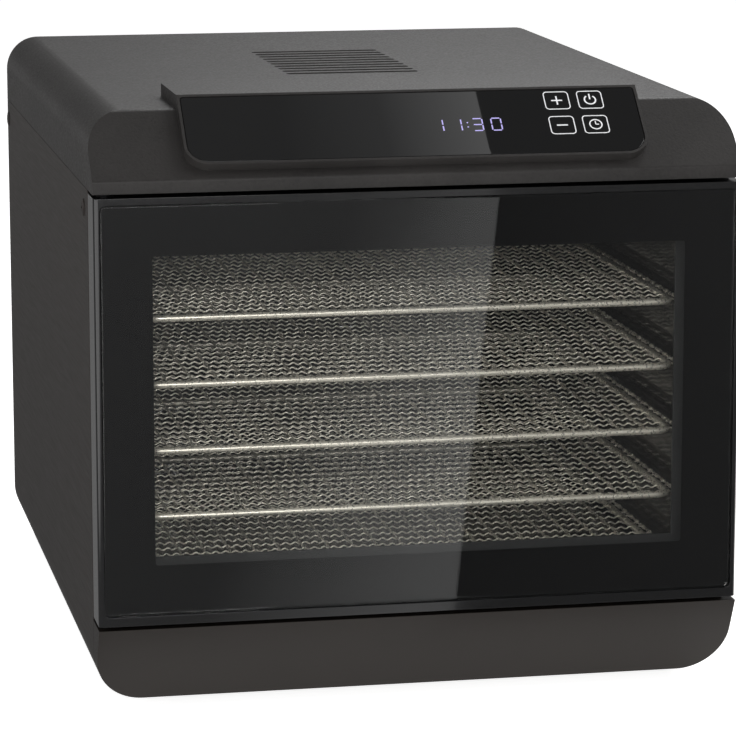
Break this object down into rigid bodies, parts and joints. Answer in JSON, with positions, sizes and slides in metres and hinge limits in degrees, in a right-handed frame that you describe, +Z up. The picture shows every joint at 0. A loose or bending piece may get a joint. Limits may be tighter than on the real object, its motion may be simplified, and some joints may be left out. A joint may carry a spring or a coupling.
{
  "type": "food dehydrator",
  "caption": "Box-shaped countertop food dehydrator with a full-width hinged glass door, sliding wire mesh trays, a touch console on the sloped lid, and a rear fan and heater.",
  "frame": {"origin": "centre of the bounding box in plan, on the surface that the feet stand on", "axes": "+Z up, -Y towards the user (the door side), +X to the right seen from the door side"},
  "size_m": [0.3474, 0.45, 0.3251],
  "materials": {
    "cabinet_paint": "satin",
    "lid_plastic": "fine grained satin",
    "fascia": "satin",
    "door_trim": "gloss",
    "door_glass": "polished, printed black round the window",
    "touch_glass": "polished black",
    "chamber_enamel": "gloss",
    "tray_steel": "bright",
    "bright_steel": "bright",
    "motor_steel": "satin",
    "heater_steel": "heat-darkened",
    "dark_plastic": "matte",
    "circuit_board": "satin",
    "seal_rubber": "matte",
    "foot_rubber": "matte"
  },
  "bodies": {
    "casing": {"side_wrap": "cabinet_paint", "rear_panel": "cabinet_paint", "base_front": "fascia", "top_cover": "lid_plastic", "top_rail": "dark_plastic", "console_glass": "touch_glass", "display_module": "dark_plastic", "control_board": "circuit_board", "power_board": "circuit_board", "hinge_pin_lower": "bright_steel", "hinge_pin_upper": "bright_steel", "front_frame": "chamber_enamel", "chamber_left_wall": "chamber_enamel", "chamber_right_wall": "chamber_enamel", "chamber_floor": "chamber_enamel", "chamber_roof": "chamber_enamel", "air_baffle": "chamber_enamel", "motor_bracket": "chamber_enamel", "vent_duct": "dark_plastic", "door_magnet_lower": "dark_plastic", "door_magnet_upper": "dark_plastic", "fan_motor": "motor_steel", "heater_element": "heater_steel", "heater_holder_left": "motor_steel", "heater_holder_right": "motor_steel", "thermal_cutout": "dark_plastic", "temperature_probe": "bright_steel", "terminal_block": "dark_plastic", "cable_gland": "dark_plastic", "foot_1": "foot_rubber", "rear_screw_1": "motor_steel", "foot_2": "foot_rubber", "rear_screw_2": "motor_steel", "foot_3": "foot_rubber", "rear_screw_3": "motor_steel", "foot_4": "foot_rubber", "rear_screw_4": "motor_steel", "side_screw_left_front": "cabinet_paint", "side_screw_left_rear": "cabinet_paint", "side_screw_right_front": "cabinet_paint", "side_screw_right_rear": "cabinet_paint"},
    "door": {"door_frame": "door_trim", "door_glass": "door_glass", "door_retainer": "dark_plastic", "door_seal": "seal_rubber", "hinge_bush_lower": "dark_plastic", "hinge_bush_upper": "dark_plastic", "striker_lower": "bright_steel", "striker_upper": "bright_steel"},
    "fan": {"fan_wheel": "dark_plastic", "fan_shaft": "bright_steel", "fan_nut": "bright_steel"},
    "tray_1": {"tray_1": "tray_steel"},
    "tray_2": {"tray_2": "tray_steel"},
    "tray_3": {"tray_3": "tray_steel"},
    "tray_4": {"tray_4": "tray_steel"},
    "tray_5": {"tray_5": "tray_steel"}
  },
  "joints": [
    {"name": "door_hinge", "type": "hinge", "parent": "casing", "child": "door", "pos_m": [-0.165, -0.213, 0.1643], "axis": [0, 0, -1], "range_deg": [0, 110]},
    {"name": "fan_spin", "type": "hinge", "parent": "casing", "child": "fan", "pos_m": [0, 0.142, 0.162], "axis": [0, 1, 0], "continuous": true},
    {"name": "tray_1_slide", "type": "slide", "parent": "casing", "child": "tray_1", "axis": [0, -1, 0], "range_m": [0, 0.004]},
    {"name": "tray_2_slide", "type": "slide", "parent": "casing", "child": "tray_2", "axis": [0, -1, 0], "range_m": [0, 0.004]},
    {"name": "tray_3_slide", "type": "slide", "parent": "casing", "child": "tray_3", "axis": [0, -1, 0], "range_m": [0, 0.004]},
    {"name": "tray_4_slide", "type": "slide", "parent": "casing", "child": "tray_4", "axis": [0, -1, 0], "range_m": [0, 0.004]},
    {"name": "tray_5_slide", "type": "slide", "parent": "casing", "child": "tray_5", "axis": [0, -1, 0], "range_m": [0, 0.004]}
  ]
}
